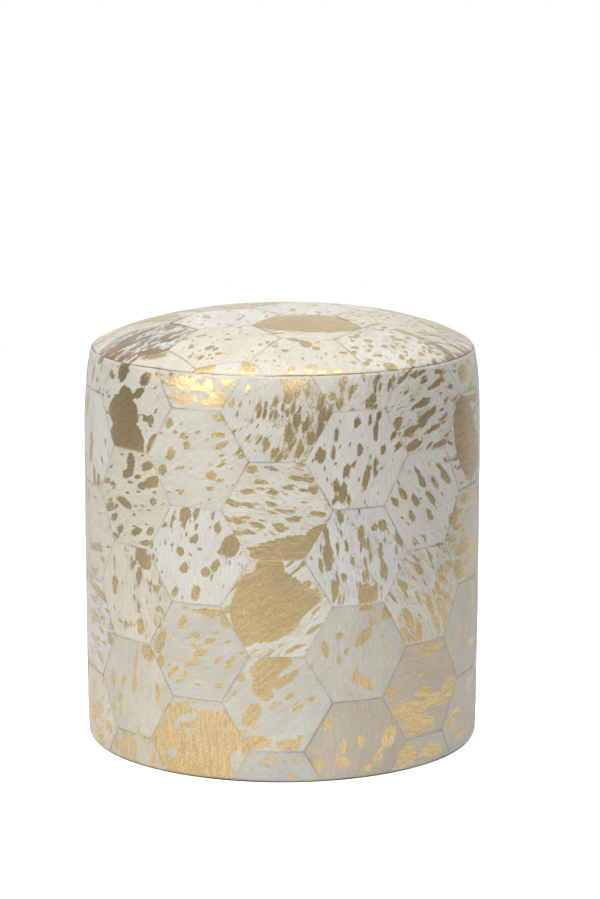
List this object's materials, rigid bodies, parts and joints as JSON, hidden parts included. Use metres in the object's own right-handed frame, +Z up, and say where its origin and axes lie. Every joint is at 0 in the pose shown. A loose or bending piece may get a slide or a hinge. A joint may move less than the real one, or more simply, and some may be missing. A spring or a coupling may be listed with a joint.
{
  "type": "drum pouf",
  "caption": "Round drum pouf with a crowned top, a firm foam core and a zipped patchwork cover of hair-on hide hexagons with gold foil.",
  "frame": {"origin": "middle of the base, on the floor that the pouf stands on", "axes": "+Z up, -Y the front, +X to the right seen from the front; the zip runs along X"},
  "size_m": [0.4059, 0.4059, 0.4406],
  "materials": {
    "hide": "matte",
    "hide_gold": "satin",
    "seam_thread": "matte",
    "cotton": "matte",
    "calico": "matte",
    "wadding": "matte",
    "foam": "matte",
    "base_cloth": "matte",
    "zip_tape": "matte",
    "zip_nylon": "satin",
    "zip_metal": "satin"
  },
  "bodies": {
    "pouf": {"side_strip_01": "hide", "side_strip_02": "hide", "side_strip_03": "hide", "side_strip_04": "hide", "side_strip_05": "hide", "side_strip_06": "hide", "side_strip_07": "hide", "side_strip_08": "hide", "side_strip_09": "hide", "side_strip_10": "hide", "side_strip_11": "hide", "side_strip_12": "hide", "side_strip_13": "hide", "side_strip_14": "hide", "side_strip_15": "hide", "side_strip_16": "hide", "side_strip_17": "hide", "top_strip_1": "hide", "top_strip_2": "hide", "top_strip_3": "hide", "top_strip_4": "hide", "top_strip_5": "hide", "lining_side": "cotton", "lining_top": "cotton", "calico_side": "calico", "calico_top": "calico", "calico_base": "calico", "wadding_side": "wadding", "wadding_top": "wadding", "foam_crown": "foam", "base_panel_front": "base_cloth", "base_panel_rear": "base_cloth", "zip_tape_front": "zip_tape", "zip_tape_rear": "zip_tape", "zip_coil_front": "zip_nylon", "zip_coil_rear": "zip_nylon", "zip_top_stop_front": "zip_metal", "zip_top_stop_rear": "zip_metal", "zip_bottom_stop": "zip_metal", "foam_slab_1": "foam", "foam_slab_2": "foam", "foam_slab_3": "foam", "foam_slab_4": "foam"},
    "slider": {"zip_slider": "zip_metal"},
    "pull": {"zip_pull": "zip_metal"}
  },
  "joints": [
    {"name": "zip_travel", "type": "slide", "parent": "pouf", "child": "slider", "axis": [1, 0, 0], "range_m": [0, 0.285]},
    {"name": "pull_swing", "type": "hinge", "parent": "slider", "child": "pull", "pos_m": [-0.1425, 0, 0.0031], "axis": [0, 1, 0], "range_deg": [0, 170]}
  ]
}
